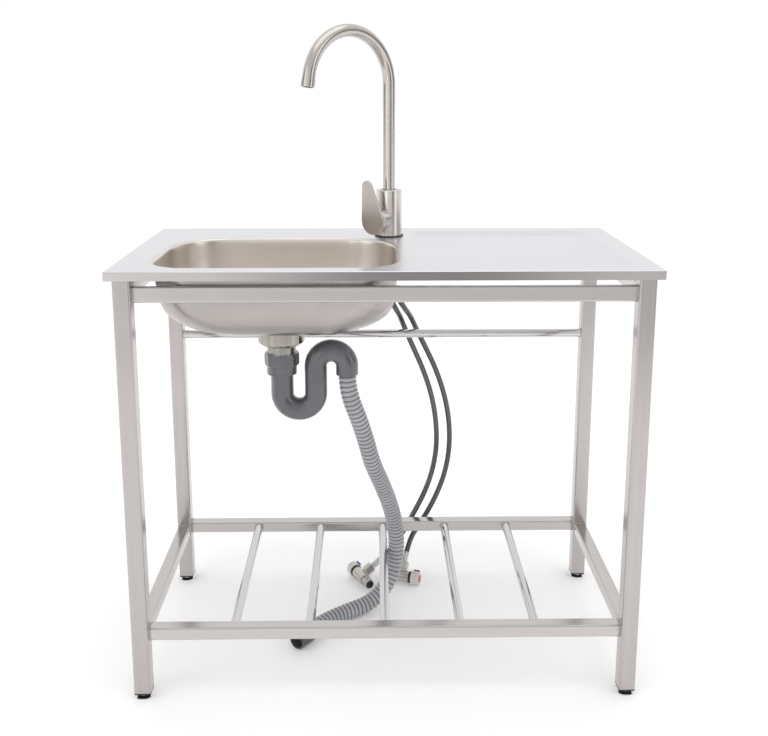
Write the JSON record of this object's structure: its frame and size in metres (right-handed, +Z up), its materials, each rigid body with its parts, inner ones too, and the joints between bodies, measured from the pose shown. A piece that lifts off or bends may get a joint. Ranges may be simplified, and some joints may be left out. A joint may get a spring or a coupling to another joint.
{
  "type": "freestanding kitchen sink",
  "caption": "Freestanding steel sink: single bowl with drainer worktop on a tube stand with slatted shelf, swivel mixer tap, trap and ribbed drain hose.",
  "frame": {"origin": "on the floor under the middle of the worktop", "axes": "+X to the right seen from the front, +Y to the rear, +Z up"},
  "size_m": [1, 0.5262, 1.2935],
  "materials": {
    "worktop_steel": "satin, fine grain",
    "bowl_steel": "satin pressed",
    "stand_steel": "polished satin tube",
    "polished_tube": "polished round tube",
    "strainer_steel": "polished",
    "tap_nickel": "brushed nickel plate",
    "thread_brass": "machined",
    "locknut_nickel": "nickel plate",
    "foot_chrome": "chrome plate",
    "fitting_chrome": "chrome plate",
    "dark_rubber": "matt",
    "black_plastic": "matt moulded",
    "trap_plastic": "smooth moulded",
    "hose_plastic": "ribbed moulded",
    "cuff_rubber": "smooth",
    "braid": "braided wire and dark sleeve",
    "knob_plastic": "moulded",
    "cold_mark": "moulded",
    "hot_mark": "moulded"
  },
  "bodies": {
    "sink": {"back_bar": "polished_tube", "bowl": "bowl_steel", "cartridge": "black_plastic", "cartridge_nut": "thread_brass", "drain_hose": "hose_plastic", "drain_hose_cuff": "cuff_rubber", "foot_plugs": "black_plastic", "hose_bush": "trap_plastic", "hose_cold": "braid", "hose_ferrules": "fitting_chrome", "hose_hot": "braid", "hose_nuts": "fitting_chrome", "leg_front_left": "stand_steel", "leg_front_right": "stand_steel", "leg_rear_left": "stand_steel", "leg_rear_right": "stand_steel", "shelf_front_rail": "stand_steel", "shelf_left_rail": "stand_steel", "shelf_rear_rail": "stand_steel", "shelf_right_rail": "stand_steel", "shelf_slat_1": "polished_tube", "shelf_slat_2": "polished_tube", "shelf_slat_3": "polished_tube", "shelf_slat_4": "polished_tube", "shelf_slat_5": "polished_tube", "spout_bush": "dark_rubber", "strainer_body": "strainer_steel", "tap_base_gasket": "dark_rubber", "tap_body": "tap_nickel", "tap_fixing_nut": "thread_brass", "tap_fixing_washer": "black_plastic", "tap_shank": "thread_brass", "top_front_rail": "stand_steel", "top_left_rail": "stand_steel", "top_rear_rail": "stand_steel", "top_right_rail": "stand_steel", "trap_bend": "trap_plastic", "trap_nut": "trap_plastic", "trap_washer": "dark_rubber", "valve_cold_body": "fitting_chrome", "valve_cold_packing_ring": "black_plastic", "valve_hot_body": "fitting_chrome", "valve_hot_packing_ring": "black_plastic", "waste_gasket": "dark_rubber", "waste_locknut": "locknut_nickel", "worktop": "worktop_steel"},
    "spout": {"tap_spout": "tap_nickel", "aerator": "tap_nickel"},
    "mixer_carrier": {"cartridge_carrier": "black_plastic"},
    "mixer_lever": {"lever": "tap_nickel", "lever_screw": "tap_nickel"},
    "cold_knob": {"valve_cold_knob": "knob_plastic", "valve_cold_mark": "cold_mark"},
    "hot_knob": {"valve_hot_knob": "knob_plastic", "valve_hot_mark": "hot_mark"},
    "basket": {"strainer_basket": "strainer_steel"},
    "foot_front_left": {"levelling_foot_front_left": "foot_chrome"},
    "foot_front_right": {"levelling_foot_front_right": "foot_chrome"},
    "foot_rear_left": {"levelling_foot_rear_left": "foot_chrome"},
    "foot_rear_right": {"levelling_foot_rear_right": "foot_chrome"}
  },
  "joints": [
    {"name": "spout_swivel", "type": "hinge", "parent": "sink", "child": "spout", "pos_m": [0.013, 0.143, 1], "axis": [0, 0, 1], "continuous": true},
    {"name": "lever_temperature", "type": "hinge", "parent": "sink", "child": "mixer_carrier", "pos_m": [0.013, 0.143, 0.888], "axis": [-0.6428, -0.766, 0], "range_deg": [-57, 33]},
    {"name": "lever_flow", "type": "hinge", "parent": "mixer_carrier", "child": "mixer_lever", "pos_m": [-0.01143, 0.11389, 0.888], "axis": [0.7493, -0.6287, 0.2079], "range_deg": [0, 18]},
    {"name": "valve_cold_turn", "type": "hinge", "parent": "sink", "child": "cold_knob", "pos_m": [-0.06937, 0.22614, 0.0168], "axis": [-0.4633, 0.8862, 0], "range_deg": [-90, 0]},
    {"name": "valve_hot_turn", "type": "hinge", "parent": "sink", "child": "hot_knob", "pos_m": [0.0786, 0.17942, 0.0168], "axis": [0.9397, -0.342, 0], "range_deg": [-90, 0]},
    {"name": "basket_lift", "type": "slide", "parent": "sink", "child": "basket", "axis": [0, 0, 1], "range_m": [0, 0.12]},
    {"name": "foot_front_left_screw", "type": "slide", "parent": "sink", "child": "foot_front_left", "axis": [0, 0, -1], "range_m": [0, 0.015]},
    {"name": "foot_front_right_screw", "type": "slide", "parent": "sink", "child": "foot_front_right", "axis": [0, 0, -1], "range_m": [0, 0.015]},
    {"name": "foot_rear_left_screw", "type": "slide", "parent": "sink", "child": "foot_rear_left", "axis": [0, 0, -1], "range_m": [0, 0.015]},
    {"name": "foot_rear_right_screw", "type": "slide", "parent": "sink", "child": "foot_rear_right", "axis": [0, 0, -1], "range_m": [0, 0.015]}
  ]
}
